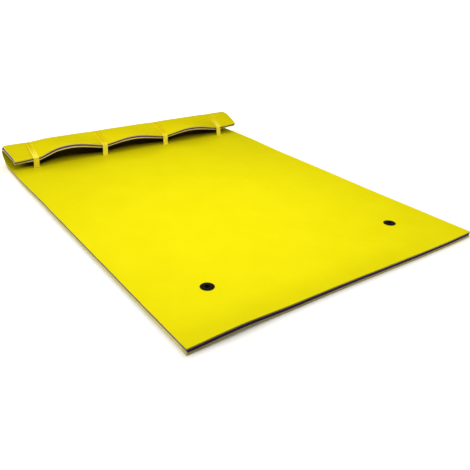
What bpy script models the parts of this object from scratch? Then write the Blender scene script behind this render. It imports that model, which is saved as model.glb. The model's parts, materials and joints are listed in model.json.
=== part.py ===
"""Foam floating mat: three bonded foam sheets whose far end is curled over into a
pillow and held by four webbing straps, with two eyelets for a tether at the foot.

Metres, +Z up. The mat lies on the floor at Z = 0 with its foot edge at -Y and its
pillow at +Y. X runs across the mat. The origin is under the middle of the whole mat.
"""
import math

import bmesh
import bpy
from mathutils import Vector

# Driving dimensions of the sheets
SHEET_WIDTH = 1.829
SHEET_LENGTH = 2.743
SKIN_THICKNESS = 0.0095
CORE_THICKNESS = 0.0134
SEAT_GAP = 0.0003

# The curl: its outer radius, how much of the sheet goes on past half a turn, and how
# far it is drawn round there at each end, at each strap and halfway between straps
CURL_RADIUS = 0.090
FLAP_LENGTH = 0.147
LEFT_END_PAST_HALF_DEG = 28
RIGHT_END_PAST_HALF_DEG = 33
STRAP_PAST_HALF_DEGS = (25, 27, 30, 36)
ARCH_PAST_HALF_DEGS = (6.5, 10.5, 13)
LEFT_END_SAG = 0.011
LEFT_END_SAG_REACH = 0.450
LIP_DRAW_IN = 0.018

# Straps: webbing through a slit in the mat, closed under the mat by two patches
STRAP_INSET_FROM_SIDE = 0.161
STRAP_SLIT_UNDER_FLAP = 0.022
STRAP_WIDTH = 0.038
STRAP_THICKNESS = 0.0015
STRAP_RECESS = 0.0003
STRAP_SIDE_CLEARANCE = 0.0006
STRAP_FOLD_RADIUS = 0.0010
STRAP_LIP_TURN_RADIUS = 0.003
STRAP_LIP_OVERHANG = 0.0028
GROOVE_WALL_RUN = 0.0006
PATCH_LENGTH = 0.080
PATCH_SIDE_MARGIN = 0.001
PATCH_THICKNESS = 0.0010
PATCH_FROM_SLIT = 0.008
STRAP_TAIL_PAST_PATCH = 0.002
CLOSURE_END_CLEARANCE = 0.004
POCKET_SIDE_CLEARANCE = 0.0015

# Grommets: an eyelet pushed down through the mat into a washer under it
GROMMET_FROM_SIDE = 0.300
GROMMET_FROM_FOOT = 0.313
GROMMET_BORE_RADIUS = 0.0125
BARREL_WALL = 0.002
EYELET_FLANGE_RADIUS = 0.0345
EYELET_FLANGE_THICKNESS = 0.0016
COLLAR_RADIUS = 0.0235
COLLAR_HEIGHT = 0.0032
COLLAR_SHOULDER = 0.002
COLLAR_MOUTH_CHAMFER = 0.002
WASHER_RADIUS = 0.030
WASHER_THICKNESS = 0.0022
WASHER_RECESS = 0.0003

# Facets, and how far the cutters run past what they cut
CELLS_PER_ARCH = 8
CELLS_PER_END = 2
CURL_STEP_DEG = 15
FLAP_ROWS = 7
TURN_STEPS = 3
ROUND_STEPS = 32
OVERRUN = 0.010

# Derived sizes
THICKNESS = 2 * SKIN_THICKNESS + CORE_THICKNESS + 2 * SEAT_GAP
MID_RADIUS = CURL_RADIUS - THICKNESS / 2
CURL_START_FROM_FOOT = SHEET_LENGTH - math.pi * MID_RADIUS - FLAP_LENGTH
HALF_WIDTH = SHEET_WIDTH / 2
HALF_LENGTH = (CURL_START_FROM_FOOT + CURL_RADIUS) / 2
STRAP_COUNT = len(STRAP_PAST_HALF_DEGS)
STRAP_SPACING = (SHEET_WIDTH - 2 * STRAP_INSET_FROM_SIDE) / (STRAP_COUNT - 1)
STRAP_XS = [STRAP_INSET_FROM_SIDE + i * STRAP_SPACING - HALF_WIDTH for i in range(STRAP_COUNT)]
GROOVE_HALF = STRAP_WIDTH / 2 + STRAP_SIDE_CLEARANCE
PRESSED_HALF = GROOVE_HALF + GROOVE_WALL_RUN
BARREL_RADIUS = GROMMET_BORE_RADIUS + BARREL_WALL
PATCH_WIDTH = STRAP_WIDTH - 2 * PATCH_SIDE_MARGIN
STRAP_SLIT_FROM_FOOT = CURL_START_FROM_FOOT - FLAP_LENGTH + STRAP_SLIT_UNDER_FLAP
GROOVE_DEPTH = STRAP_RECESS + STRAP_THICKNESS + SEAT_GAP
GROOVE_START = STRAP_SLIT_FROM_FOOT + PATCH_FROM_SLIT
GROOVE_FULL = GROOVE_START + PATCH_LENGTH
CLOSURE_DEPTH = STRAP_RECESS + 2 * STRAP_THICKNESS + 2 * PATCH_THICKNESS + 4 * SEAT_GAP

# Top face of each sheet, measured from the middle of the mat towards its top side
TOP_OFFSET = THICKNESS / 2
CORE_OFFSET = TOP_OFFSET - SKIN_THICKNESS - SEAT_GAP
BOTTOM_OFFSET = CORE_OFFSET - CORE_THICKNESS - SEAT_GAP

# Colours, roughness
FOAM_YELLOW = (0.86, 0.74, 0.01)
FOAM_PURPLE = (0.055, 0.02, 0.16)
WEBBING_YELLOW = (0.90, 0.66, 0.02)
PATCH_YELLOW = (0.80, 0.62, 0.05)
PLASTIC_BLACK = (0.012, 0.011, 0.012)


def clear_scene():
    for thing in list(bpy.data.objects):
        bpy.data.objects.remove(thing, do_unlink=True)


def new_collection(name):
    collection = bpy.data.collections.new(name)
    bpy.context.scene.collection.children.link(collection)
    return collection


def make_material(name, colour, roughness):
    material = bpy.data.materials.new(name)
    material.use_nodes = True
    shader = material.node_tree.nodes["Principled BSDF"]
    shader.inputs["Base Color"].default_value = (*colour, 1.0)
    shader.inputs["Roughness"].default_value = roughness
    shader.inputs["Metallic"].default_value = 0.0
    return material


def new_object(name, mesh, collection, material=None):
    thing = bpy.data.objects.new(name, mesh)
    collection.objects.link(thing)
    if material:
        mesh.materials.clear()
        mesh.materials.append(material)
    return thing


def hide_cutter(thing):
    thing.hide_render = True
    thing.display_type = "WIRE"
    return thing


def cut(thing, cutter, operation="DIFFERENCE"):
    modifier = thing.modifiers.new(cutter.name, "BOOLEAN")
    modifier.operation = operation
    modifier.solver = "EXACT"
    modifier.object = cutter


def thicken(thing, thickness, offset=0.0):
    modifier = thing.modifiers.new("thickness", "SOLIDIFY")
    modifier.thickness = thickness
    modifier.offset = offset
    return modifier


def ease(share):
    """0 to 1 with a level start and a level end."""
    return math.sin(math.pi / 2 * min(1.0, max(0.0, share))) ** 2


def past_half_turn(x):
    """How far the curl goes on past half a turn at a place across the mat, in radians."""
    if x <= STRAP_XS[0]:
        share = (STRAP_XS[0] - x - PRESSED_HALF) / (STRAP_INSET_FROM_SIDE - PRESSED_HALF)
        low, high = STRAP_PAST_HALF_DEGS[0], LEFT_END_PAST_HALF_DEG
    elif x >= STRAP_XS[-1]:
        share = (x - STRAP_XS[-1] - PRESSED_HALF) / (STRAP_INSET_FROM_SIDE - PRESSED_HALF)
        low, high = STRAP_PAST_HALF_DEGS[-1], RIGHT_END_PAST_HALF_DEG
    else:
        bay = min(STRAP_COUNT - 2, int((x - STRAP_XS[0]) / STRAP_SPACING))
        along = (x - STRAP_XS[bay]) / STRAP_SPACING
        nearest = bay if along < 0.5 else bay + 1
        share = (abs(x - STRAP_XS[nearest]) - PRESSED_HALF) / (STRAP_SPACING / 2 - PRESSED_HALF)
        low, high = STRAP_PAST_HALF_DEGS[nearest], ARCH_PAST_HALF_DEGS[bay]
    return math.radians(low + (high - low) * ease(share))


def mid_radius(x):
    """Radius of the curl at the middle of the mat's thickness: the left end sags."""
    fade_start = STRAP_XS[0] + PRESSED_HALF
    fade_end = LEFT_END_SAG_REACH - HALF_WIDTH
    return MID_RADIUS - LEFT_END_SAG / 2 * ease((fade_end - x) / (fade_end - fade_start))


def mid_point(x, along):
    """A point of the mat's middle surface, given its place on the flat sheet."""
    radius = mid_radius(x)
    turned = max(0.0, along - CURL_START_FROM_FOOT) / radius
    whole_turn = math.pi + past_half_turn(x)
    top = CURL_START_FROM_FOOT + math.pi * radius
    drawn = ease((along - top) / (SHEET_LENGTH - top)) * LIP_DRAW_IN
    beyond = max(0.0, abs(x) - STRAP_XS[-1] - PRESSED_HALF) / (STRAP_INSET_FROM_SIDE - PRESSED_HALF)
    drawn_x = x - math.copysign(drawn * beyond, x)
    arc = min(turned, whole_turn)
    straight = (turned - arc) * radius
    y = min(along, CURL_START_FROM_FOOT) + radius * math.sin(arc) + straight * math.cos(arc)
    z = THICKNESS / 2 + radius * (1 - math.cos(arc)) + straight * math.sin(arc)
    return Vector((drawn_x, y - HALF_LENGTH, z))


def sheet_point(x, along, offset):
    """A point at an offset from the middle surface, towards the mat's top side."""
    step = SEAT_GAP
    across = mid_point(min(x + step, HALF_WIDTH), along) - mid_point(max(x - step, -HALF_WIDTH), along)
    onward = mid_point(x, min(along + step, SHEET_LENGTH)) - mid_point(x, max(along - step, 0.0))
    return mid_point(x, along) + offset * across.cross(onward).normalized()


def spread(start, end, cells):
    """Evenly spaced places from start up to, but not including, end."""
    return [start + (end - start) * i / cells for i in range(cells)]


def column_places(grooved):
    """Places across the mat where a sheet's mesh has a line of corners."""
    beside = [-PRESSED_HALF, -GROOVE_HALF, GROOVE_HALF] if grooved else [-PRESSED_HALF]
    places = spread(-HALF_WIDTH, STRAP_XS[0] - PRESSED_HALF, CELLS_PER_END)
    for here, there in zip(STRAP_XS, STRAP_XS[1:]):
        places += [here + reach for reach in beside]
        places += spread(here + PRESSED_HALF, there - PRESSED_HALF, CELLS_PER_ARCH)
    places += [STRAP_XS[-1] + reach for reach in beside]
    places += spread(STRAP_XS[-1] + PRESSED_HALF, HALF_WIDTH, CELLS_PER_END)
    return places + [HALF_WIDTH]


def curl_rows(x):
    """Places along the sheet, from where it lifts off the floor to its lip."""
    radius = mid_radius(x)
    half = math.radians(CURL_STEP_DEG) / 2
    turns = [2 * half * i for i in range(round(math.pi / (2 * half)))]
    rows = [CURL_START_FROM_FOOT + radius * turn for turn in turns]
    rows.append(CURL_START_FROM_FOOT + radius * (math.pi - half))
    first = CURL_START_FROM_FOOT + radius * (math.pi + half)
    return rows + spread(first, SHEET_LENGTH, FLAP_ROWS) + [SHEET_LENGTH]


def in_groove(x, along):
    beside = min(abs(x - strap_x) for strap_x in STRAP_XS)
    return beside < (GROOVE_HALF + PRESSED_HALF) / 2 and along > (GROOVE_START + GROOVE_FULL) / 2


def build_sheet(name, offset, thickness, parts, material):
    """The whole sheet, flat part and curl: its top face, thickened downwards.

    The bottom sheet is thinner in a groove under each strap, which bites into the foam.
    """
    grooved = offset == BOTTOM_OFFSET
    flat_rows = [0.0, GROOVE_START, GROOVE_FULL] if grooved else [0.0]
    columns = column_places(grooved)
    last_row = len(flat_rows + curl_rows(0.0)) - 1
    shape = bmesh.new()
    bmesh.ops.create_grid(shape, x_segments=len(columns) - 1, y_segments=last_row, size=1.0)
    pressed = []
    for index, vert in enumerate(shape.verts):
        x = columns[round((vert.co.x + 1) / 2 * (len(columns) - 1))]
        along = (flat_rows + curl_rows(x))[round((vert.co.y + 1) / 2 * last_row)]
        vert.co = sheet_point(x, along, offset)
        if grooved and in_groove(x, along):
            pressed.append(index)
    mesh = bpy.data.meshes.new(name)
    shape.to_mesh(mesh)
    shape.free()
    sheet = new_object(name, mesh, parts, material)
    shell = thicken(sheet, thickness, offset=-1.0)
    if grooved:
        group = sheet.vertex_groups.new(name="thickness")
        group.add(range(len(mesh.vertices)), 1.0, "REPLACE")
        group.add(pressed, (thickness - GROOVE_DEPTH) / thickness, "REPLACE")
        shell.vertex_group = group.name
    return sheet


def box(name, low, high, collection, material=None):
    size = Vector(high) - Vector(low)
    middle = (Vector(high) + Vector(low)) / 2
    shape = bmesh.new()
    bmesh.ops.create_cube(shape, size=1.0)
    for vert in shape.verts:
        vert.co = Vector(a * b for a, b in zip(vert.co, size))
    mesh = bpy.data.meshes.new(name)
    shape.to_mesh(mesh)
    shape.free()
    thing = new_object(name, mesh, collection, material)
    thing.location = middle
    return thing


def ribbon(name, x, width, path, thickness, collection, material=None):
    """A flat band of one width that follows (y, z) points, given its middle line."""
    shape = bmesh.new()
    bmesh.ops.create_grid(shape, x_segments=1, y_segments=len(path) - 1, size=1.0)
    for vert in shape.verts:
        y, z = path[round((vert.co.y + 1) / 2 * (len(path) - 1))]
        vert.co = Vector((vert.co.x * width / 2, y, z))
    mesh = bpy.data.meshes.new(name)
    shape.to_mesh(mesh)
    shape.free()
    thing = new_object(name, mesh, collection, material)
    thing.location = (x, 0.0, 0.0)
    thicken(thing, thickness)
    return thing


def rounded_corner(before, corner, after, radius):
    """Points of the arc that rounds one corner of a (y, z) path."""
    before, corner, after = Vector(before), Vector(corner), Vector(after)
    to_before = (before - corner).normalized()
    to_after = (after - corner).normalized()
    half = to_before.angle(to_after) / 2
    centre = corner + (to_before + to_after).normalized() * radius / math.sin(half)
    start = corner + to_before * radius / math.tan(half) - centre
    end = corner + to_after * radius / math.tan(half) - centre
    turn = start.angle(end)
    points = []
    for i in range(TURN_STEPS + 1):
        share = i / TURN_STEPS
        arm = start * math.sin((1 - share) * turn) + end * math.sin(share * turn)
        points.append(tuple(centre + arm / math.sin(turn)))
    return points


def wrap_points(x, depth):
    """(y, z) points at a depth under the roll's outer face, from the floor to the lip."""
    points = [sheet_point(x, along, depth - THICKNESS / 2) for along in curl_rows(x)]
    return [(point.y, point.z) for point in points]


def extended(points, reach):
    """The path with its last stretch carried on by a length."""
    last, before = Vector(points[-1]), Vector(points[-2])
    return points + [tuple(last + (last - before).normalized() * reach)]


def strap_path(x):
    """Middle line of a strap: sewn end, slit, lip, round the roll, and the tail below."""
    slit_y = STRAP_SLIT_FROM_FOOT - HALF_LENGTH
    sewn_z = CLOSURE_DEPTH - SEAT_GAP - STRAP_THICKNESS / 2
    tail_z = STRAP_RECESS + STRAP_THICKNESS / 2
    wrap = extended(wrap_points(x, tail_z), STRAP_LIP_OVERHANG)
    wrap.reverse()
    sewn_end = (slit_y + PATCH_FROM_SLIT + PATCH_LENGTH + STRAP_TAIL_PAST_PATCH, sewn_z)
    under_slit = (slit_y, sewn_z)
    over_slit = (slit_y, THICKNESS + SEAT_GAP)
    path = [sewn_end]
    path += rounded_corner(sewn_end, under_slit, over_slit, STRAP_FOLD_RADIUS)
    path.append(over_slit)
    path += rounded_corner(over_slit, wrap[0], wrap[1], STRAP_LIP_TURN_RADIUS)
    path += wrap[1:]
    path.append((slit_y + PATCH_FROM_SLIT - STRAP_TAIL_PAST_PATCH, tail_z))
    return path


def build_strap(index, x, parts, materials):
    name = f"pillow_strap_{index}"
    ribbon(name, x, STRAP_WIDTH, strap_path(x), STRAP_THICKNESS, parts, materials["webbing"])
    start = STRAP_SLIT_FROM_FOOT - HALF_LENGTH + PATCH_FROM_SLIT
    loop_z = STRAP_RECESS + STRAP_THICKNESS + SEAT_GAP
    hook_z = loop_z + PATCH_THICKNESS + SEAT_GAP
    for kind, z in (("loop", loop_z), ("hook", hook_z)):
        low = (x - PATCH_WIDTH / 2, start, z)
        high = (x + PATCH_WIDTH / 2, start + PATCH_LENGTH, z + PATCH_THICKNESS)
        box(f"strap_{index}_{kind}_patch", low, high, parts, materials["patch"])


def strap_cutters(index, x, cutters):
    """The slit through the mat and the pocket under it for the closure."""
    slit_y = STRAP_SLIT_FROM_FOOT - HALF_LENGTH
    slit_half = STRAP_THICKNESS / 2 + SEAT_GAP
    slit = box(f"strap_{index}_slit", (x - GROOVE_HALF, slit_y - slit_half, -OVERRUN),
               (x + GROOVE_HALF, slit_y + slit_half, THICKNESS + OVERRUN), cutters)
    sewn_end = slit_y + PATCH_FROM_SLIT + PATCH_LENGTH + STRAP_TAIL_PAST_PATCH
    pocket_half = STRAP_WIDTH / 2 + POCKET_SIDE_CLEARANCE
    pocket_start = slit_y - STRAP_THICKNESS / 2 - POCKET_SIDE_CLEARANCE
    pocket_end = sewn_end + CLOSURE_END_CLEARANCE
    pocket = box(f"strap_{index}_pocket", (x - pocket_half, pocket_start, -OVERRUN),
                 (x + pocket_half, pocket_end, CLOSURE_DEPTH), cutters)
    return {"slit": hide_cutter(slit), "pocket": hide_cutter(pocket)}


def turned(name, profile, collection, material=None):
    """A closed (radius, z) outline turned round a vertical axis."""
    shape = bmesh.new()
    verts = [shape.verts.new((radius, 0.0, z)) for radius, z in profile]
    for here, there in zip(verts, verts[1:] + verts[:1]):
        shape.edges.new((here, there))
    mesh = bpy.data.meshes.new(name)
    shape.to_mesh(mesh)
    shape.free()
    thing = new_object(name, mesh, collection, material)
    screw = thing.modifiers.new("turned", "SCREW")
    screw.axis = "Z"
    screw.angle = 2 * math.pi
    screw.steps = ROUND_STEPS
    screw.render_steps = ROUND_STEPS
    screw.use_merge_vertices = True
    screw.merge_threshold = SEAT_GAP / 10
    screw.use_smooth_shade = True
    return thing


def cylinder(name, radius, low, high, place, collection):
    shape = bmesh.new()
    bmesh.ops.create_cone(shape, cap_ends=True, segments=ROUND_STEPS,
                          radius1=radius, radius2=radius, depth=high - low)
    mesh = bpy.data.meshes.new(name)
    shape.to_mesh(mesh)
    shape.free()
    thing = new_object(name, mesh, collection)
    thing.location = (place[0], place[1], (low + high) / 2)
    return hide_cutter(thing)


def eyelet_profile():
    """Flange with a raised collar round the mouth, and the barrel down to the floor side."""
    seat = THICKNESS + SEAT_GAP
    mouth = GROMMET_BORE_RADIUS + COLLAR_MOUTH_CHAMFER
    return [
        (EYELET_FLANGE_RADIUS, seat),
        (EYELET_FLANGE_RADIUS, seat + EYELET_FLANGE_THICKNESS / 2),
        (EYELET_FLANGE_RADIUS - EYELET_FLANGE_THICKNESS / 2, seat + EYELET_FLANGE_THICKNESS),
        (COLLAR_RADIUS, seat + EYELET_FLANGE_THICKNESS),
        (COLLAR_RADIUS - COLLAR_SHOULDER, seat + COLLAR_HEIGHT),
        (mouth, seat + COLLAR_HEIGHT),
        (GROMMET_BORE_RADIUS, seat + COLLAR_HEIGHT - COLLAR_MOUTH_CHAMFER),
        (GROMMET_BORE_RADIUS, WASHER_RECESS),
        (BARREL_RADIUS, WASHER_RECESS),
        (BARREL_RADIUS, seat),
    ][::-1]


def washer_profile():
    inner = BARREL_RADIUS + SEAT_GAP
    top = WASHER_RECESS + WASHER_THICKNESS
    return [
        (inner, WASHER_RECESS),
        (WASHER_RADIUS - WASHER_THICKNESS / 2, WASHER_RECESS),
        (WASHER_RADIUS, WASHER_RECESS + WASHER_THICKNESS / 2),
        (WASHER_RADIUS, top),
        (inner, top),
    ][::-1]


def build_grommet(side, place, parts, cutters, materials):
    eyelet = turned(f"{side}_grommet_eyelet", eyelet_profile(), parts, materials["plastic"])
    washer = turned(f"{side}_grommet_washer", washer_profile(), parts, materials["plastic"])
    for thing in (eyelet, washer):
        thing.location = (place[0], place[1], 0.0)
    hole = cylinder(f"{side}_grommet_hole", BARREL_RADIUS + SEAT_GAP, -OVERRUN,
                    THICKNESS + OVERRUN, place, cutters)
    recess = cylinder(f"{side}_grommet_recess", WASHER_RADIUS + SEAT_GAP, -OVERRUN,
                      WASHER_RECESS + WASHER_THICKNESS + SEAT_GAP, place, cutters)
    return {"hole": hole, "recess": recess}


def build_sheets(parts, materials, mat_block, pillow_block, strap_cuts, grommet_cuts):
    """Each sheet is cut in two over the top of the curl: the mat and the pillow's flap."""
    sheets = (
        ("mat_top_layer", "pillow_inner_layer", TOP_OFFSET, SKIN_THICKNESS, "yellow"),
        ("mat_core_layer", "pillow_core_layer", CORE_OFFSET, CORE_THICKNESS, "purple"),
        ("mat_bottom_layer", "pillow_outer_layer", BOTTOM_OFFSET, SKIN_THICKNESS, "yellow"),
    )
    for mat_name, pillow_name, offset, thickness, colour in sheets:
        mat = build_sheet(mat_name, offset, thickness, parts, materials[colour])
        pillow = build_sheet(pillow_name, offset, thickness, parts, materials[colour])
        cut(mat, mat_block)
        cut(pillow, pillow_block, "INTERSECT")
        for strap_cut in strap_cuts:
            cut(mat, strap_cut["slit"])
            if offset == BOTTOM_OFFSET:
                cut(mat, strap_cut["pocket"])
        for grommet_cut in grommet_cuts:
            cut(mat, grommet_cut["hole"])
            if offset == BOTTOM_OFFSET:
                cut(mat, grommet_cut["recess"])


def split_block(name, split_y, cutters):
    """All the space on the lip's side of the split, from halfway between mat and lip up."""
    lip_z = min(sheet_point(x, SHEET_LENGTH, TOP_OFFSET).z for x in column_places(False))
    low = (-HALF_WIDTH - OVERRUN, -HALF_LENGTH, (THICKNESS + lip_z) / 2)
    high = (HALF_WIDTH + OVERRUN, split_y, 2 * CURL_RADIUS + OVERRUN)
    return hide_cutter(box(name, low, high, cutters))


def build():
    clear_scene()
    parts = new_collection("foam_floating_mat")
    cutters = new_collection("cutters")
    materials = {
        "yellow": make_material("yellow_foam", FOAM_YELLOW, 0.75),
        "purple": make_material("purple_foam", FOAM_PURPLE, 0.8),
        "webbing": make_material("yellow_webbing", WEBBING_YELLOW, 0.7),
        "patch": make_material("hook_and_loop", PATCH_YELLOW, 0.9),
        "plastic": make_material("black_plastic", PLASTIC_BLACK, 0.45),
    }
    split_y = CURL_START_FROM_FOOT - HALF_LENGTH
    mat_block = split_block("mat_side_of_split", split_y + SEAT_GAP / 2, cutters)
    pillow_block = split_block("pillow_side_of_split", split_y - SEAT_GAP / 2, cutters)
    strap_cuts = []
    for index, x in enumerate(STRAP_XS, start=1):
        build_strap(index, x, parts, materials)
        strap_cuts.append(strap_cutters(index, x, cutters))
    grommet_cuts = []
    for side, sign in (("left", -1), ("right", 1)):
        place = (sign * (HALF_WIDTH - GROMMET_FROM_SIDE), GROMMET_FROM_FOOT - HALF_LENGTH)
        grommet_cuts.append(build_grommet(side, place, parts, cutters, materials))
    build_sheets(parts, materials, mat_block, pillow_block, strap_cuts, grommet_cuts)


build()
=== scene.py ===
"""Looks of the foam floating mat: three foam sheets with cut edges, webbing straps that
bite into the curled pillow, hook and loop patches, and moulded grommets.

Metres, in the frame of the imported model: +Z up, the foot edge at -Y, the pillow at +Y.
A place on the flat sheet is (x, along), with along measured from the foot edge.
"""
import json
import math

import bpy
import numpy as np
from mathutils import Matrix, Vector


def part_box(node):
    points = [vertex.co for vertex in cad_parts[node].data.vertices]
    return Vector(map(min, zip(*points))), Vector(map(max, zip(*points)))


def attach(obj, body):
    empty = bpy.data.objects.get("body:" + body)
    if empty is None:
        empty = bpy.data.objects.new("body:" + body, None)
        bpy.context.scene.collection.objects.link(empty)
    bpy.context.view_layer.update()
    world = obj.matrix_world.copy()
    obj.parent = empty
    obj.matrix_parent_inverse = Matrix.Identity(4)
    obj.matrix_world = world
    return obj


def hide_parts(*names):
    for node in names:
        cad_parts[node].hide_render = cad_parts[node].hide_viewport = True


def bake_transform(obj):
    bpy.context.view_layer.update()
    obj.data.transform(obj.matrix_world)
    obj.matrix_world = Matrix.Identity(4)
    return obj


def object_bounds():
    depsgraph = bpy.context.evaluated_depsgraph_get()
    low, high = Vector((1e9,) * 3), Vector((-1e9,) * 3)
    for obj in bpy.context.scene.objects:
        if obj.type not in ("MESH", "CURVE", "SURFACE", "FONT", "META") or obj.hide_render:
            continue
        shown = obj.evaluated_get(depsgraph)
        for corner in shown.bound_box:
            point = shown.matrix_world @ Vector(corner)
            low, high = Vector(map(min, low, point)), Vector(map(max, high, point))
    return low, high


TINY = 1e-6

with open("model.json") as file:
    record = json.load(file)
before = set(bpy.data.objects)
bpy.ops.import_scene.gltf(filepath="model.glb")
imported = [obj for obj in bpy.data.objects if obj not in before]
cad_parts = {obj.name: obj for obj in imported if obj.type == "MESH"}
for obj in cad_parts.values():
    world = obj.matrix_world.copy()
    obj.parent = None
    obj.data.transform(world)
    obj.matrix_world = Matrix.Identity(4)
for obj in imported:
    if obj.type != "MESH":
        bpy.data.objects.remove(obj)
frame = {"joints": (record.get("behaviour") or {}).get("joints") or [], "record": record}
cad_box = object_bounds()

# Sizes that the frame gives
MOUNTS = {mount["name"]: mount for mount in frame["record"]["mounts"]}
HINGE = frame["joints"][0]
HALF_WIDTH = cad_box[1].x
HALF_LENGTH = cad_box[1].y
THICKNESS = MOUNTS["lying_surface"]["pos_m"][2]
CURL_Y, CURL_RADIUS = HINGE["pos_m"][1:]
MID_RADIUS = CURL_RADIUS - THICKNESS / 2
CURL_START = CURL_Y + HALF_LENGTH
STRAP_COUNT = 4
STRAP_NAMES = [f"pillow_strap_{i}" for i in range(1, STRAP_COUNT + 1)]
STRAP_BOXES = [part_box(name) for name in STRAP_NAMES]
STRAP_XS = np.array([(low.x + high.x) / 2 for low, high in STRAP_BOXES])
STRAP_WIDTH = STRAP_BOXES[0][1].x - STRAP_BOXES[0][0].x
STRAP_INSET = HALF_WIDTH + STRAP_XS[0]
PATCH_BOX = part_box("strap_1_loop_patch")

# The sheet: its top face over its middle surface, its layers, and the length that goes on
# past half a turn of the curl
UPPER = THICKNESS / 2
SKIN_THICKNESS = 0.0095
CORE_THICKNESS = 0.0134
FLAP_LENGTH = 0.147
CURL_TOP = CURL_START + math.pi * MID_RADIUS
SHEET_LENGTH = CURL_TOP + FLAP_LENGTH

# How far the curl is drawn past half a turn: at its ends, at the straps, and at the crown
# of each arch between two straps. The crowns' places are from the left side.
END_PAST_HALF_DEGS = (28, 33)
STRAP_PAST_HALF_DEGS = (25, 27.5, 33.5, 37)
ARCH_PAST_HALF_DEGS = (6.5, 11.8, 14.8)
ARCH_CROWNS = (0.412, 0.895, 1.400)
LEFT_END_SAG = 0.008
LEFT_END_SAG_REACH = 0.330
CURL_LOOSENESS = 0.0008
LIP_DRAW_IN = 0.018
LEVEL_HALF = 0.0202

# The curl isn't wound quite square: its back is shifted to the left, and its lip less so.
# Shifts to the left, at places from the left side. Between the straps, the inner sheet also
# ends a little behind the outer one, so that the lip's cut faces down more.
SKEW_PLACES = (0.000, 0.161, 0.663, 1.166, 1.668, 1.829)
SKEW_AT_BACK = (0.013, 0.005, 0.020, 0.033, 0.033, 0.038)
SKEW_AT_LIP = (0.000, 0.004, 0.002, 0.006, 0.012, -0.008)
SKEW_BACK_TURN = math.radians(150)
LIP_SLIDE = -0.003
HELD_FADE = 0.050
NORMAL_STEP = 0.0002

# How the straps bite into the roll, and how the foam swells between them
BITE_DEPTH = 0.0021
BITE_HALF = 0.0197
BITE_SHOULDER = 0.0070
SWELL = 0.0016
SWELL_SHOULDER = 0.0900
SWELL_FADE_SIDE = 0.120
SWELL_FADE_LIP = 0.045

# How the hand-cut sheet departs from a flat rectangle: how its foot edge lifts off the
# floor, and how its edges bow out. Each place is from the left side or from the foot, and
# each reach is how far the change goes in either direction.
LIFTS = (
    {"x": 0.24, "reach_x": 0.30, "reach_y": 0.30, "height": 0.0085},
    {"x": 1.86, "reach_x": 0.30, "reach_y": 0.25, "height": 0.0030},
)
FOOT_BOWS = (
    {"x": 0.05, "reach_x": 0.50, "depth": 0.0080},
    {"x": 1.50, "reach_x": 0.70, "depth": 0.0085},
)
FOOT_BOW_REACH_Y = 0.28
SIDE_BOWS = (
    {"side": -1, "y": 1.20, "reach_y": 0.90, "depth": 0.0010},
    {"side": -1, "y": 2.02, "reach_y": 0.40, "depth": 0.0045},
    {"side": 1, "y": 0.20, "reach_y": 0.60, "depth": 0.0090},
    {"side": 1, "y": 1.10, "reach_y": 0.90, "depth": 0.0030},
    {"side": 1, "y": 2.05, "reach_y": 0.45, "depth": 0.0130},
)
SIDE_BOW_REACH_X = 0.60

# The foam round the grommets is drawn a little aside, and the grommets with it
GROMMET_DRIFT = (0.0060, 0.0060, 0.0)
GROMMET_DRIFT_REACH = 0.280

# The wander of the knife along the cut edges
WOBBLE = 0.0007
WOBBLE_WAVES = (0.17, 0.29, 0.53)
LAYER_WOBBLE = 0.0003

# Painted shade on the inner skin inside the curl, darker where less light reaches in. It starts
# behind the lip, the further back the higher the lip stands over the mat: the pair has the
# shares of that height at the mat's left and right side. A faint painted shadow reaches out in
# front of the lip, but dies out towards the right side. DARK_SKIN is the colour painted there.
SHADE_BEFORE_LIP = 0.19
SHADE_WITHIN_RIGHT = 0.500
SHADE_REACH_SHARE = 3.00
DARK_START_SHARES = (0.92, 1.48)
DARK_REACH_SHARE = 0.70
DARK_WITHIN_ENDS = 0.140
DARK_BEFORE_CURL = 0.500
DARK_SKIN = (0.050, 0.031, 0.0)

# Painted shade along the line where one edge of each strap presses into the roll's skin; the top
# face painted darker near the foot edge, and painted shade on the foot's cut face, both dying out towards
# the right side
CREASE_SIDES = (-1, 1, 1, -1)
CREASE_PLACE = 0.0222
CREASE_REACH = 0.0042
CREASE_SHARES = (0.25, 0.45, 0.45, 0.45)
FOOT_CUT_SHADE = 0.54
FOOT_CUT_SHADE_WITHIN_RIGHT = 1.830
FOOT_DARKENING = 0.11
FOOT_DARKENING_WITHIN_RIGHT = 0.900
FOOT_DARKENING_REACH = 0.200
CUT_SHADE_DIMMING = 0.25

# Straps: webbing with a thicker selvedge, and the turns of their path
STRAP_THICKNESS = 0.0015
STRAP_RECESS = 0.0003
SELVEDGE_HALF_THICK = 0.00085
SELVEDGE_WIDTH = 0.0050
SELVEDGE_OUTLINE = ((0.0, 0.0), (0.0003, 0.6), (0.0010, 1.0), (0.0036, 1.0), (0.0044, 0.85))
MIDDLE_HALF_THICK = 0.00060
MIDDLE_PLACES = (0.009, 0.003, -0.003, -0.009)
STRAP_FOLD_RADIUS = 0.0010
STRAP_LIP_TURN_RADIUS = 0.0030
STRAP_LIP_OVERHANG = 0.0028
STRAP_STEP = 0.004
CORNER_POINTS = 9
# How far past each lip the webbing is painted lighter, as painted light on the legs, and how strongly
LIT_PAST_LIPS = (0.160, 0.060, 0.060, 0.160)
LIT_SHARE = 0.95
PATCH_FROM_SLIT = 0.008
STRAP_TAIL_PAST_PATCH = 0.002
SLIT_HALF_GAP = 0.00105
SLIT_HALF_WIDTH = 0.0196
SLIT_Y = PATCH_BOX[0].y - PATCH_FROM_SLIT
SLIT_ALONG = SLIT_Y + HALF_LENGTH
SEWN_Z = 0.00545

# The pocket under the mat for each strap's closure
POCKET_DEPTH = 0.0065
POCKET_HALF = 0.0205
POCKET_WALL = 0.0006
POCKET_START = SLIT_ALONG - 0.00225
POCKET_END = SLIT_ALONG + 0.094

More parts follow.
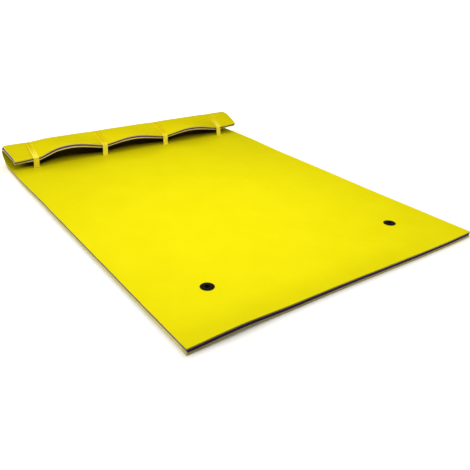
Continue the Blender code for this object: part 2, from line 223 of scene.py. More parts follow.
# How far in the knife went, at the faces of the layers from the top down: at the foot, and
# at the left edge on the flat mat and round the curl
CUT_DEPTHS = (0.0, SKIN_THICKNESS, SKIN_THICKNESS + CORE_THICKNESS, THICKNESS)
CUT_SPREAD = 0.0120
FOOT_CUT = (0.0, 0.0032, 0.0042, 0.0)
LEFT_CUT_FLAT = (0.0, 0.0035, 0.0084, 0.0)
LEFT_CUT_CURLED = (0.0, 0.0020, 0.0060, 0.0130)
LEFT_CUT_AT_LIP = 0.10
LEFT_CUT_CHANGE = 0.150

# Rounding of the cut edges
EDGE_REACH = 0.0024
OUTER_ROUND = 0.0022
BOND_ROUND = 0.0007
CORE_SHRINK = 0.0005
ROUND_STEPS = 4

# Mesh steps
ARCH_CELL = 0.015
FLAT_CELL = 0.050
CLOSURE_CELL = 0.012
CURL_CELL = math.radians(3.5) * MID_RADIUS
FLAP_CELL = 0.0055
ARC_STEPS = 5
BESIDE_STRAP = (0.0070, 0.0140, 0.0196, 0.0205, 0.0211, 0.0222, 0.0240, 0.0265, 0.0300,
                0.0340, 0.0390)

# Grommets
GROMMET_BOXES = [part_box(f"{side}_grommet_eyelet") for side in ("left", "right")]
GROMMET_PLACES = [(low + high) / 2 for low, high in GROMMET_BOXES]
FLANGE_RADIUS = (GROMMET_BOXES[0][1].x - GROMMET_BOXES[0][0].x) / 2
HOLE_RADIUS = 0.0148
RECESS_RADIUS = 0.0303
RECESS_WALL = 0.0004
RECESS_DEPTH = 0.0028
FLANGE_CLEAR = 0.0015
GROMMET_CELL_HALF = 0.0400
GROMMET_CELL_PARTS = 8


def ease(share):
    """0 to 1 with a level start and a level end."""
    return np.sin(np.pi / 2 * np.clip(share, 0.0, 1.0)) ** 2


def hump(distance, reach):
    """1 at no distance, falling smoothly to 0 at the reach."""
    return ease(1 - np.abs(distance) / reach)


def nearest_strap(x):
    return np.abs(np.subtract.outer(x, STRAP_XS)).argmin(-1)


def from_nearest_strap(x):
    """Signed distance to the nearest strap's middle line."""
    return x - STRAP_XS[nearest_strap(x)]


def past_half_turn(x):
    """How far the curl goes on past half a turn at places across the mat, in radians.

    It is level under each strap. Beside a strap the lip springs up in a cusp, and from
    there on it bows over to the crown of its arch. The two end pieces are eased.
    """
    from_left = np.asarray(x, float) + HALF_WIDTH
    straps = STRAP_XS + HALF_WIDTH
    past = np.full(from_left.shape, float(STRAP_PAST_HALF_DEGS[0]))
    for strap, angle in zip(straps, STRAP_PAST_HALF_DEGS):
        past = np.where(np.abs(from_left - strap) <= LEVEL_HALF, angle, past)
    for i, (crown, arch) in enumerate(zip(ARCH_CROWNS, ARCH_PAST_HALF_DEGS)):
        for k, side in ((i, 1), (i + 1, -1)):
            strap, low = straps[k], STRAP_PAST_HALF_DEGS[k]
            reach = abs(crown - strap) - LEVEL_HALF
            share = (side * (from_left - strap) - LEVEL_HALF) / reach
            bowed = arch + (low - arch) * (1 - np.sin(np.pi / 2 * share))
            past = np.where((share > 0) & (share <= 1), bowed, past)
    end_reach = STRAP_INSET - LEVEL_HALF
    for i, side in ((0, -1), (-1, 1)):
        low, end = STRAP_PAST_HALF_DEGS[i], END_PAST_HALF_DEGS[i]
        share = (side * (from_left - straps[i]) - LEVEL_HALF) / end_reach
        past = np.where(share > 0, low + (end - low) * ease(share), past)
    return np.radians(past)


def mid_radius(x):
    """Radius of the curl at the middle of the thickness: the left end sags a little."""
    fade_start = STRAP_XS[0] + LEVEL_HALF
    fade_end = LEFT_END_SAG_REACH - HALF_WIDTH
    sag = LEFT_END_SAG / 2 * ease((fade_end - x) / (fade_end - fade_start))
    return MID_RADIUS + CURL_LOOSENESS - sag


def skew(x, turned, onward):
    """How far the curl is shifted to the left: from its turn so far, and from the share
    of the way from the back of the curl to the lip."""
    at_back = np.interp(x + HALF_WIDTH, SKEW_PLACES, SKEW_AT_BACK)
    at_lip = np.interp(x + HALF_WIDTH, SKEW_PLACES, SKEW_AT_LIP)
    return ease(turned / SKEW_BACK_TURN) * at_back + ease(onward) * (at_lip - at_back)


def mid_surface(x, along):
    """Points of the sheet's middle surface, for places on the flat sheet."""
    radius = mid_radius(x)
    turned = np.maximum(0.0, along - CURL_START) / radius
    arc = np.minimum(turned, np.pi + past_half_turn(x))
    straight = (turned - arc) * radius
    top = CURL_START + np.pi * radius
    drawn = ease((along - top) / (SHEET_LENGTH - top)) * LIP_DRAW_IN
    beyond = np.maximum(0.0, np.abs(x) - STRAP_XS[-1] - LEVEL_HALF) / (STRAP_INSET - LEVEL_HALF)
    back = CURL_START + SKEW_BACK_TURN * radius
    shift = skew(x, turned, (along - back) / (SHEET_LENGTH - back))
    y = np.minimum(along, CURL_START) + radius * np.sin(arc) + straight * np.cos(arc)
    z = UPPER + radius * (1 - np.cos(arc)) + straight * np.sin(arc)
    return np.stack([x - np.sign(x) * drawn * beyond - shift, y - HALF_LENGTH, z], -1)


def sheet_points(x, along, offset):
    """Points at an offset from the middle surface, towards the mat's top side."""
    step = NORMAL_STEP
    free = ease((np.abs(from_nearest_strap(x)) - LEVEL_HALF) / HELD_FADE)
    slid = ease((along - CURL_START) / (SHEET_LENGTH - CURL_START))
    along = along + LIP_SLIDE * free * slid * offset / THICKNESS
    across = mid_surface(x + step, along) - mid_surface(x - step, along)
    onward = mid_surface(x, along + step) - mid_surface(x, along - step)
    normal = np.cross(across, onward)
    normal /= np.linalg.norm(normal, axis=-1, keepdims=True)
    return mid_surface(x, along) + offset[..., None] * normal


def settled(points):
    """The points with the lifts and bows of the real, hand-cut sheet."""
    from_left = points[..., 0] + HALF_WIDTH
    from_foot = points[..., 1] + HALF_LENGTH
    moved = points.copy()
    for lift in LIFTS:
        share = hump(from_left - lift["x"], lift["reach_x"])
        moved[..., 2] += lift["height"] * share * hump(from_foot, lift["reach_y"])
    for bow in FOOT_BOWS:
        share = hump(from_left - bow["x"], bow["reach_x"])
        moved[..., 1] -= bow["depth"] * share * hump(from_foot, FOOT_BOW_REACH_Y)
    for bow in SIDE_BOWS:
        share = hump(from_foot - bow["y"], bow["reach_y"])
        from_side = HALF_WIDTH - bow["side"] * points[..., 0]
        moved[..., 0] += bow["side"] * bow["depth"] * share * ease(1 - from_side / SIDE_BOW_REACH_X)
    for place in GROMMET_PLACES:
        near = hump(points[..., 0] - place.x, GROMMET_DRIFT_REACH)
        near = near * hump(points[..., 1] - place.y, GROMMET_DRIFT_REACH)
        moved += near[..., None] * np.array(GROMMET_DRIFT)
    return moved


def wobble(place, seed):
    """The knife's slow wander along a cut edge, from about -1 to 1."""
    waves = [np.sin(2 * np.pi * place / wave + seed * (i + 1)) for i, wave in enumerate(WOBBLE_WAVES)]
    return sum(waves) / len(WOBBLE_WAVES)


def no_shape(x, along):
    return np.zeros(np.broadcast(x, along).shape)


def outer_shape(x, along):
    """How far the underside and the roll's outer face are let in (negative: swollen)."""
    away = np.abs(from_nearest_strap(x))
    clear_of_strap = ease((away - BITE_HALF) / BITE_SHOULDER)
    swollen = ease((away - BITE_HALF) / SWELL_SHOULDER)
    on_roll = ease((along - POCKET_START) / (POCKET_END - POCKET_START))
    from_side = ease((HALF_WIDTH - np.abs(x)) / SWELL_FADE_SIDE)
    from_lip = ease((SHEET_LENGTH - along) / SWELL_FADE_LIP)
    curled = ease((along - CURL_START) / (MID_RADIUS * math.pi / 4))
    swell = SWELL * swollen * from_side * from_lip * curled
    bite = BITE_DEPTH * (1 - clear_of_strap) * on_roll - swell
    inside = np.clip((POCKET_HALF + POCKET_WALL - away) / POCKET_WALL, 0.0, 1.0)
    behind = np.clip((along - POCKET_START + POCKET_WALL) / POCKET_WALL, 0.0, 1.0)
    ahead = np.clip((POCKET_END + POCKET_WALL - along) / POCKET_WALL, 0.0, 1.0)
    pocket = POCKET_DEPTH * inside * behind * ahead
    return np.where(pocket > 0, np.maximum(bite, pocket), bite)


def near_edge(inside):
    """1 at the cut edge, to 0 where the cut's hollow has died out inside the sheet."""
    return 1 - np.clip((inside - EDGE_REACH) / CUT_SPREAD, 0.0, 1.0)


def left_cut(x, along, offset):
    """How far in the left edge is cut, dying out a short way inside the sheet."""
    flat = np.interp(UPPER - offset, CUT_DEPTHS, LEFT_CUT_FLAT)
    curled = np.interp(UPPER - offset, CUT_DEPTHS, LEFT_CUT_CURLED)
    curled *= 1 - (1 - LEFT_CUT_AT_LIP) * ease((along - CURL_TOP) / MID_RADIUS + 0.5)
    cut = flat + (curled - flat) * ease((along - CURL_START) / LEFT_CUT_CHANGE)
    return near_edge(x + HALF_WIDTH) * cut


def foot_cut(along, offset):
    """How far in the foot edge is cut, dying out in the same way."""
    return near_edge(along) * np.interp(UPPER - offset, CUT_DEPTHS, FOOT_CUT)


def strap_edge_shade(x, along):
    """Painted shade: how much darker the skin is painted where an edge of the webbing presses into the
    roll.
    """
    strap = nearest_strap(x)
    side, share = np.array(CREASE_SIDES)[strap], np.array(CREASE_SHARES)[strap]
    beside = hump(side * from_nearest_strap(x) - CREASE_PLACE, CREASE_REACH)
    return share * beside * ease((along - CURL_START) / MID_RADIUS)


def off_right(x, reach):
    """0 at the mat's right side, rising smoothly to 1 at the reach."""
    return ease((HALF_WIDTH - x) / reach)


def curl_shade(x, points):
    """Painted shade: 0 for the inner skin in the open, to 1 for the skin deep inside the curl, with a
    faint painted shadow reaching out in front of the lip.
    """
    lip = mid_surface(x, np.full(len(x), SHEET_LENGTH))
    gap = lip[:, 2] - UPPER - THICKNESS
    behind = points[:, 1] - lip[:, 1]
    most = SHADE_BEFORE_LIP * off_right(x, SHADE_WITHIN_RIGHT)
    painted_dark = most * ease(1 + behind / (SHADE_REACH_SHARE * gap))
    start = np.interp(x, (-HALF_WIDTH, HALF_WIDTH), DARK_START_SHARES)
    deep = ease((behind / gap - start) / DARK_REACH_SHARE)
    within = ease((HALF_WIDTH - np.abs(x)) / DARK_WITHIN_ENDS)
    return painted_dark + (1 - most) * deep * within


# Meshes of the foam layers
def filled(marks):
    """Places from the first mark to the last. Each mark has the largest step after it."""
    places = []
    for (here, step), (there, _) in zip(marks, marks[1:]):
        count = max(1, math.ceil((there - here) / step - TINY))
        places += [here + (there - here) * i / count for i in range(count)]
    return np.array(places + [marks[-1][0]])


def grommet_marks(middle):
    """Places round a grommet, on the sides of its square cell."""
    parts = np.linspace(-GROMMET_CELL_HALF, GROMMET_CELL_HALF, GROMMET_CELL_PARTS + 1)
    return list(middle + parts)


def column_places():
    """Places across the mat: close beside the straps, even in between."""
    edge = HALF_WIDTH - EDGE_REACH
    places = [-edge, edge, *STRAP_XS]
    for strap_x in STRAP_XS:
        places += [strap_x + side * reach for reach in BESIDE_STRAP for side in (-1, 1)]
    for place in GROMMET_PLACES:
        places += grommet_marks(place.x)
    return filled([(place, ARCH_CELL) for place in sorted(places)])


def row_places():
    """Places along the sheet, from the foot edge to the lip."""
    marks = [(EDGE_REACH, FLAT_CELL)]
    marks += [(place, FLAT_CELL) for place in grommet_marks(GROMMET_PLACES[0].y + HALF_LENGTH)]
    marks += [(POCKET_START - POCKET_WALL, FLAT_CELL), (POCKET_START, FLAT_CELL)]
    marks += [(SLIT_ALONG - SLIT_HALF_GAP, FLAT_CELL), (SLIT_ALONG + SLIT_HALF_GAP, CLOSURE_CELL)]
    marks += [(POCKET_END, FLAT_CELL), (POCKET_END + POCKET_WALL, CLOSURE_CELL)]
    marks += [(CURL_START, CURL_CELL), (CURL_TOP, FLAP_CELL), (SHEET_LENGTH - EDGE_REACH, 0.0)]
    return filled(marks)


def edge_profile(upper_round, lower_round, shrink):
    """Points round the cut edge: how far out, and how deep below its own face."""
    reach = EDGE_REACH - shrink
    turns = np.linspace(0, np.pi / 2, ROUND_STEPS + 1)
    upper, lower = (
        [(reach - r + r * math.sin(turn), r * (1 - math.cos(turn))) for turn in turns]
        for r in (upper_round, lower_round)
    )
    return upper, lower[::-1]


def square_turn(across, along):
    """The angle that a point on the grommet's square cell takes on the round hole."""
    quarter = math.pi / 4
    if abs(across) >= abs(along) - TINY:
        return quarter * along / across if across > 0 else math.pi + quarter * along / across
    half_turn = math.pi / 2
    if along > 0:
        return half_turn - quarter * across / along
    return -half_turn - quarter * across / along


class Layer:
    """A foam sheet as one closed mesh, built in (x, along, offset) and then bent."""

    def __init__(self, sheet, seed):
        self.top, self.bottom, self.lower_shape = sheet["top"], sheet["bottom"], sheet["lower_shape"]
        self.recessed, self.seed = sheet["recessed"], seed
        self.profile = edge_profile(*sheet["rounds"], sheet["shrink"])
        self.columns, self.rows = column_places(), row_places()
        self.places, self.faces, self.cut_faces = [], [], []
        self.chains = {}

    def add(self, x, along, offset):
        self.places.append((x, along, offset))
        return len(self.places) - 1

    def grid(self, offsets):
        """Adds a grid of points and gives their numbers as [column][row]."""
        return [[self.add(x, v, offsets[i, j]) for j, v in enumerate(self.rows)]
                for i, x in enumerate(self.columns)]

    def cell_kind(self, i, j):
        """'outside', 'slit', 'grommet' or 'foam', for the cell after column i and row j."""
        if not (0 <= i < len(self.columns) - 1 and 0 <= j < len(self.rows) - 1):
            return "outside"
        x = (self.columns[i] + self.columns[i + 1]) / 2
        v = (self.rows[j] + self.rows[j + 1]) / 2
        if abs(v - SLIT_ALONG) < SLIT_HALF_GAP and np.abs(STRAP_XS - x).min() < SLIT_HALF_WIDTH:
            return "slit"
        for place in GROMMET_PLACES:
            if max(abs(x - place.x), abs(v - HALF_LENGTH - place.y)) < GROMMET_CELL_HALF:
                return "grommet"
        return "foam"

    def edge_chain(self, i, j):
        """Points round the sheet's cut edge, from its upper face to its lower one."""
        x, v = self.columns[i], self.rows[j]
        side = (i == len(self.columns) - 1) - (i == 0)
        end = (j == len(self.rows) - 1) - (j == 0)
        shape = float(self.lower_shape(np.array(x), np.array(v)))
        sway_side = WOBBLE * wobble(v, 1) + LAYER_WOBBLE * wobble(v, 3 + self.seed)
        sway_end = WOBBLE * wobble(x, 2) + LAYER_WOBBLE * wobble(x, 4 + self.seed)

        def moved(out, offset):
            share = out / EDGE_REACH
            out_x = side * (out + sway_side * share)
            out_v = end * (out + sway_end * share)
            return self.add(x + out_x, v + out_v, offset)

        upper, lower = self.profile
        chain = [moved(out, self.top - depth) for out, depth in upper]
        chain += [moved(out, self.bottom + shape + depth) for out, depth in lower]
        return chain, ROUND_STEPS

    def grommet_chain(self, i, j):
        """Points from a grommet's square cell through its round hole."""
        x, v = self.columns[i], self.rows[j]
        place = min(GROMMET_PLACES, key=lambda p: abs(p.x - x))
        turn = square_turn(x - place.x, v - HALF_LENGTH - place.y)
        recess = RECESS_DEPTH * self.recessed
        rings = [(FLANGE_RADIUS + FLANGE_CLEAR, 0.0), (RECESS_RADIUS + RECESS_WALL, 0.0),
                 (RECESS_RADIUS, recess), (HOLE_RADIUS, recess)]

        def at(radius, offset):
            return self.add(place.x + radius * math.cos(turn),
                            place.y + HALF_LENGTH + radius * math.sin(turn), offset)

        chain = [at(radius, self.top) for radius, _ in rings]
        chain += [at(radius, self.bottom + depth) for radius, depth in rings[::-1]]
        return chain, len(rings)

    def chain(self, kind, i, j, upper, lower):
        """The points that join the upper face to the lower one at a border point, and how
        many of the faces between them, at each end, are skin and no cut face."""
        key = (kind, i, j)
        if key not in self.chains:
            makers = {"outside": self.edge_chain, "grommet": self.grommet_chain}
            made, skins = makers[kind](i, j) if kind in makers else ([], 0)
            self.chains[key] = ([upper[i][j], *made, lower[i][j]], skins)
        return self.chains[key]

    def wall(self, kind, here, there, upper, lower):
        """Faces from the upper edge here-there down to the lower one."""
        first, skins = self.chain(kind, *here, upper, lower)
        second, _ = self.chain(kind, *there, upper, lower)
        last = len(first) - 1
        for k in range(last):
            face = [second[k], first[k], first[k + 1], second[k + 1]]
            (self.faces if k < skins or k >= last - skins else self.cut_faces).append(face)

    def build(self):
        """Adds both faces of the sheet, and the walls round it, its slits and its holes."""
        grid_x, grid_v = np.meshgrid(self.columns, self.rows, indexing="ij")
        upper = self.grid(np.full(grid_x.shape, self.top))
        lower = self.grid(self.bottom + self.lower_shape(grid_x, grid_v))
        for i in range(len(self.columns) - 1):
            for j in range(len(self.rows) - 1):
                if self.cell_kind(i, j) != "foam":
                    continue
                corners = [(i, j), (i + 1, j), (i + 1, j + 1), (i, j + 1)]
                self.faces.append([upper[a][b] for a, b in corners])
                self.faces.append([lower[a][b] for a, b in corners[::-1]])
                beyond = [(i, j - 1), (i + 1, j), (i, j + 1), (i - 1, j)]
                for k, cell in enumerate(beyond):
                    kind = self.cell_kind(*cell)
                    if kind != "foam":
                        self.wall(kind, corners[k], corners[(k + 1) % 4], upper, lower)
        return self

    def mesh(self, name):
        """The bent mesh, with cut faces in its second slot and a value for painted shade and other darker
        places.
        """
        x, along, offset = np.array(self.places).T
        cut_x, cut_along = x + left_cut(x, along, offset), along + foot_cut(along, offset)
        flat_points = sheet_points(cut_x, cut_along, offset)
        points = settled(flat_points)
        mesh = bpy.data.meshes.new(name)
        mesh.from_pydata(points.tolist(), [], self.faces + self.cut_faces)
        slots = np.zeros(len(mesh.polygons), np.int32)
        slots[len(self.faces):] = 1
        mesh.polygons.foreach_set("material_index", slots)
        upper = offset > self.top - TINY
        inside = (along > CURL_START - DARK_BEFORE_CURL) & upper
        outside = (along > CURL_START) & (offset < self.bottom + POCKET_DEPTH)
        # Painted shade along one edge of each strap on the roll
        darkened = np.where(outside, strap_edge_shade(x, along), 0.0)
        # The top face painted darker near the foot edge, less so towards the right side
        painted_dark = FOOT_DARKENING * off_right(x, FOOT_DARKENING_WITHIN_RIGHT)
        darkened = np.where(upper, painted_dark * ease(1 - along / FOOT_DARKENING_REACH), darkened)
        # Painted shade on the foot's cut face, less towards the right side
        painted_dark = FOOT_CUT_SHADE * off_right(x, FOOT_CUT_SHADE_WITHIN_RIGHT)
        darkened = np.where(along < EDGE_REACH - TINY, painted_dark, darkened)
        # Painted shade inside the curl, and a faint painted shadow in front of the lip
        darkened = np.where(inside, curl_shade(x, flat_points), darkened)
        mesh.attributes.new("darkened", "FLOAT", "POINT").data.foreach_set("value", darkened)
        return mesh


SHARP_ANGLE = math.radians(42)


def ring_faces(rings, size, closed=False):
    """Faces between rings of points, each ring joined to the next one. If they are closed,
    the last is joined to the first."""
    faces = []
    for ring in range(rings if closed else rings - 1):
        here, there = ring * size, (ring + 1) % rings * size
        for k in range(size):
            on = (k + 1) % size
            faces.append([here + k, there + k, there + on, here + on])
    return faces


def new_piece(name, mesh, *materials):
    """A smooth-shaded piece from a mesh and its materials' names, linked to the scene."""
    mesh.update()
    mesh.validate()
    for material in materials:
        mesh.materials.append(MATERIALS[material])
    mesh.shade_smooth()
    mesh.set_sharp_from_angle(angle=SHARP_ANGLE)
    piece = bpy.data.objects.new(name, mesh)
    bpy.context.scene.collection.objects.link(piece)
    return piece


# Grain of the materials. A scale is in cells or waves per metre, and a bump is a depth in
# metres and a strength. A spread is where on the noise the dark and light colours lie.
MOTTLE_SCALE = 5.0
MOTTLE_ROUGHNESS = 0.6
MOTTLE_SPREAD = (0.35, 0.65)
DENT_SCALE = 22.0
DENT_BUMP = (0.0025, 0.40)
SKIN_CELL_SCALE = 520.0
SKIN_CELL_BUMP = (0.0003, 0.45)
CUT_CELL_SCALE = 620.0
CUT_CELL_BUMP = (0.0006, 0.5)
CUT_PATCH_SCALE = 60.0
CUT_PATCH_BUMP = (0.0012, 0.4)
CUT_CELL_SPREAD = (0.05, 0.40)
ZIGZAG_WIDTH = 0.0035
RIB_WIDTH = 0.0018
RIB_BUMP = (0.0003, 0.5)
FIBRE_SCALE = 900.0
FIBRE_SWAY = 0.24
FIBRE_BUMP = (0.0003, 0.3)
SELVEDGE_SPREAD = (0.72, 0.95)
PILE_SCALE = 750.0
PILE_SPREAD = (0.1, 0.7)
PILE_BUMP = (0.0008, 0.7)
GRAIN_SCALE = 420.0
GRAIN_BUMP = (0.0003, 0.3)

# The webbing's colour on the straps' legs: painted light, lighter as if more light fell on them
LIT_WEBBING = (1.0, 0.86, 0.07)


def node_adder(tree):
    """A helper that adds a node to a tree, with its inputs set or linked."""

    def node(kind, inputs=None, **settings):
        made = tree.nodes.new(kind)
        for key, value in settings.items():
            setattr(made, key, value)
        for key, value in (inputs or {}).items():
            if isinstance(value, bpy.types.NodeSocket):
                tree.links.new(value, made.inputs[key])
            else:
                made.inputs[key].default_value = value
        return made

    return node


def new_material(name, surface, light, dark, roughness, specular):
    """A material. The surface is the function that adds its colours and its grain."""
    material = bpy.data.materials.new(name)
    material.use_nodes = True
    shader = material.node_tree.nodes["Principled BSDF"]
    shader.inputs["Roughness"].default_value = roughness
    shader.inputs["Specular IOR Level"].default_value = specular
    surface(shader, node_adder(material.node_tree), light, dark)
    return material


def maths(node, operation, *values):
    """The result of one step of arithmetic on numbers and sockets."""
    return node("ShaderNodeMath", dict(enumerate(values)), operation=operation).outputs["Value"]


def noise(node, place, scale, detail, **more):
    inputs = {"Vector": place, "Scale": scale, "Detail": detail, **more}
    return node("ShaderNodeTexNoise", inputs).outputs["Fac"]


def cell_distance(node, place, scale):
    return node("ShaderNodeTexVoronoi", {"Vector": place, "Scale": scale}).outputs["Distance"]


def painted(shader, node, factor, spread, dark, light, attribute=None, other=None):
    """Colours the shader from dark to light where the factor goes through the spread. Where
    the attribute is 1, the colour is the other one."""
    ramp = node("ShaderNodeValToRGB", {"Fac": factor})
    for element, position, colour in zip(ramp.color_ramp.elements, spread, (dark, light)):
        element.position = position
        element.color = (*colour, 1.0)
    colour = ramp.outputs["Color"]
    if attribute:
        share = node("ShaderNodeAttribute", attribute_name=attribute).outputs["Fac"]
        # A Mix node's colours are its inputs 6 and 7, and its output 2
        mix = node("ShaderNodeMix", {0: share, 6: colour, 7: (*other, 1.0)}, data_type="RGBA")
        colour = mix.outputs[2]
    shader.id_data.links.new(colour, shader.inputs["Base Color"])


def bumped(shader, node, *heights):
    """Bumps laid over each other: each is a height socket, and its depth and strength."""
    inputs = {}
    for height, (depth, strength) in heights:
        inputs.update({"Height": height, "Distance": depth, "Strength": strength})
        inputs["Normal"] = node("ShaderNodeBump", inputs).outputs["Normal"]
    shader.id_data.links.new(inputs["Normal"], shader.inputs["Normal"])


def foam_skin(shader, node, light, dark):
    """The smooth skin of closed-cell foam: faint mottling, soft dents and fine cells."""
    place = node("ShaderNodeTexCoord").outputs["Object"]
    mottle = noise(node, place, MOTTLE_SCALE, 4.0, Roughness=MOTTLE_ROUGHNESS)
    # Where the darkened value is 1 the skin is painted DARK_SKIN: painted shade in the curl and by the
    # straps, and the darker foot
    painted(shader, node, mottle, MOTTLE_SPREAD, dark, light, "darkened", DARK_SKIN)
    dents = noise(node, place, DENT_SCALE, 2.0)
    cells = cell_distance(node, place, SKIN_CELL_SCALE)
    bumped(shader, node, (dents, DENT_BUMP), (cells, SKIN_CELL_BUMP))


def foam_cut(shader, node, light, dark):
    """A knife-cut face of the foam: open cells and uneven patches."""
    place = node("ShaderNodeTexCoord").outputs["Object"]
    cells = cell_distance(node, place, CUT_CELL_SCALE)
    patches = noise(node, place, CUT_PATCH_SCALE, 3.0)
    both = maths(node, "MULTIPLY", cells, patches)
    # The cut face's colour in painted shade, used on the foot's cut face
    painted_dark = [CUT_SHADE_DIMMING * part for part in dark]
    painted(shader, node, both, CUT_CELL_SPREAD, dark, light, "darkened", painted_dark)
    bumped(shader, node, (patches, CUT_PATCH_BUMP), (cells, CUT_CELL_BUMP))


def webbing(shader, node, light, dark):
    """Woven webbing, in metres across and along: ribs of a herringbone and soft selvedges."""
    place = node("ShaderNodeUVMap", uv_map="weave").outputs["UV"]
    split = node("ShaderNodeSeparateXYZ", {"Vector": place})
    across, along = split.outputs["X"], split.outputs["Y"]
    zigzag = maths(node, "PINGPONG", across, ZIGZAG_WIDTH)
    slanted = maths(node, "ADD", zigzag, along)
    turns = maths(node, "MULTIPLY", slanted, 2 * math.pi / RIB_WIDTH)
    ribs = maths(node, "SINE", turns)
    middle = maths(node, "SUBTRACT", across, STRAP_WIDTH / 2)
    from_middle = maths(node, "ABSOLUTE", middle)
    share = maths(node, "DIVIDE", from_middle, STRAP_WIDTH / 2)
    fibres = noise(node, place, FIBRE_SCALE, 2.0)
    sway = maths(node, "MULTIPLY_ADD", fibres, FIBRE_SWAY, share)
    # The legs are painted lighter: painted light
    painted(shader, node, sway, SELVEDGE_SPREAD, dark, light, "taut", LIT_WEBBING)
    bumped(shader, node, (ribs, RIB_BUMP), (fibres, FIBRE_BUMP))


def pile(shader, node, light, dark):
    """The short pile of a hook or loop patch."""
    place = node("ShaderNodeTexCoord").outputs["Object"]
    tufts = cell_distance(node, place, PILE_SCALE)
    painted(shader, node, tufts, PILE_SPREAD, dark, light)
    bumped(shader, node, (tufts, PILE_BUMP))


def moulded_plastic(shader, node, light, dark):
    """Injection-moulded plastic with a fine eroded grain."""
    place = node("ShaderNodeTexCoord").outputs["Object"]
    grain = noise(node, place, GRAIN_SCALE, 3.0)
    painted(shader, node, grain, MOTTLE_SPREAD, dark, light)
    bumped(shader, node, (grain, GRAIN_BUMP))


# Each material's surface, light and dark colour, roughness and specular level
MATERIALS = {
    name: new_material(name, *looks) for name, *looks in (
        ("yellow_foam_skin", foam_skin, (0.765, 0.675, 0.002), (0.745, 0.652, 0.001), 0.75, 0.03),
        # A darker copy of the yellow skin for the outer sheet: painted shade on the roll's outer face
        ("yellow_foam_outer_skin", foam_skin, (0.708, 0.602, 0.002), (0.684, 0.577, 0.001), 0.75, 0.03),
        ("yellow_foam_cut", foam_cut, (0.84, 0.77, 0.34), (0.70, 0.62, 0.20), 0.9, 0.05),
        ("purple_foam_skin", foam_skin, (0.125, 0.070, 0.220), (0.105, 0.058, 0.190), 0.8, 0.1),
        ("purple_foam_cut", foam_cut, (0.145, 0.064, 0.300), (0.090, 0.038, 0.210), 0.9, 0.05),
        ("yellow_webbing", webbing, (0.90, 0.72, 0.009), (0.71, 0.52, 0.002), 0.8, 0.04),
        ("hook_pile", pile, (0.70, 0.62, 0.10), (0.50, 0.42, 0.05), 0.8, 0.2),
        ("loop_pile", pile, (0.84, 0.66, 0.08), (0.62, 0.44, 0.03), 0.95, 0.1),
        ("black_plastic", moulded_plastic, (0.010, 0.007, 0.005), (0.005, 0.004, 0.003), 0.8, 0.04),
    )
}


# Foam sheets
SHEETS = (
    {
        "name": "top_foam_sheet", "nodes": ("mat_top_layer", "pillow_inner_layer"),
        "top": UPPER, "bottom": UPPER - SKIN_THICKNESS, "lower_shape": no_shape,
        "rounds": (OUTER_ROUND, BOND_ROUND), "shrink": 0.0, "recessed": False,
        "materials": ("yellow_foam_skin", "yellow_foam_cut"), "slot": "foam_yellow",
    },
    {
        "name": "core_foam_sheet", "nodes": ("mat_core_layer", "pillow_core_layer"),
        "top": CORE_THICKNESS / 2, "bottom": -CORE_THICKNESS / 2, "lower_shape": no_shape,
        "rounds": (BOND_ROUND, BOND_ROUND), "shrink": CORE_SHRINK, "recessed": False,
        "materials": ("purple_foam_skin", "purple_foam_cut"), "slot": "foam_purple",
    },
    {
        "name": "bottom_foam_sheet", "nodes": ("mat_bottom_layer", "pillow_outer_layer"),
        "top": SKIN_THICKNESS - UPPER, "bottom": -UPPER, "lower_shape": outer_shape,
        "rounds": (BOND_ROUND, OUTER_ROUND), "shrink": 0.0, "recessed": True,
        "materials": ("yellow_foam_outer_skin", "yellow_foam_cut"), "slot": "foam_yellow",
    },
)

for seed, sheet in enumerate(SHEETS):
    mesh = Layer(sheet, seed).build().mesh(sheet["name"])
    piece = new_piece(sheet["name"], mesh, *sheet["materials"])
    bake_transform(piece)
    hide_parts(*sheet["nodes"])


# Straps
def rounded_corner(before, corner, after, radius):
    """Points round a corner of a path, with the middle of the strap at the radius."""
    before, corner, after = (np.array(point, float) for point in (before, corner, after))
    back = (before - corner) / np.linalg.norm(before - corner)
    on = (after - corner) / np.linalg.norm(after - corner)
    half_angle = math.acos(np.clip(back @ on, -1.0, 1.0)) / 2
    reach = radius / math.tan(half_angle)
    middle = corner + (back + on) / np.linalg.norm(back + on) * radius / math.sin(half_angle)
    start, end = corner + back * reach - middle, corner + on * reach - middle
    sweep = math.pi - 2 * half_angle
    turns = np.linspace(0, sweep, CORNER_POINTS)
    return [tuple(middle + (start * math.sin(sweep - turn) + end * math.sin(turn)) / math.sin(sweep))
            for turn in turns]


def even_points(path, step):
    """The path with long straight legs cut into steps."""
    points = []
    for here, there in zip(path, path[1:]):
        count = max(1, math.ceil(math.dist(here, there) / step))
        points += [tuple(np.array(here) + (np.array(there) - np.array(here)) * i / count)
                   for i in range(count)]
    return points + [path[-1]]


def strap_path(x):
    """Middle line of a strap: sewn end, slit, lip, round the roll, tail."""
    tail_z = STRAP_RECESS + STRAP_THICKNESS / 2
    along = np.arange(SHEET_LENGTH, CURL_START, -STRAP_STEP)
    wrap = sheet_points(np.full(len(along), x), along, np.full(len(along), tail_z - UPPER))
    beyond = wrap[0] - wrap[1]
    lip_corner = wrap[0] + beyond / np.linalg.norm(beyond) * STRAP_LIP_OVERHANG
    sewn_end = (x, PATCH_BOX[1].y + STRAP_TAIL_PAST_PATCH, SEWN_Z)
    under_slit = (x, SLIT_Y, SEWN_Z)
    over_slit = (x, SLIT_Y, THICKNESS + STRAP_RECESS)
    path = [sewn_end]
    path += rounded_corner(sewn_end, under_slit, over_slit, STRAP_FOLD_RADIUS)
    path.append(over_slit)
    path += rounded_corner(over_slit, lip_corner, wrap[1], STRAP_LIP_TURN_RADIUS)
    path += [tuple(point) for point in wrap[2:]]
    path.append((x, CURL_Y, tail_z))
    path.append((x, PATCH_BOX[0].y - STRAP_TAIL_PAST_PATCH, tail_z))
    return even_points(path, 4 * STRAP_STEP)


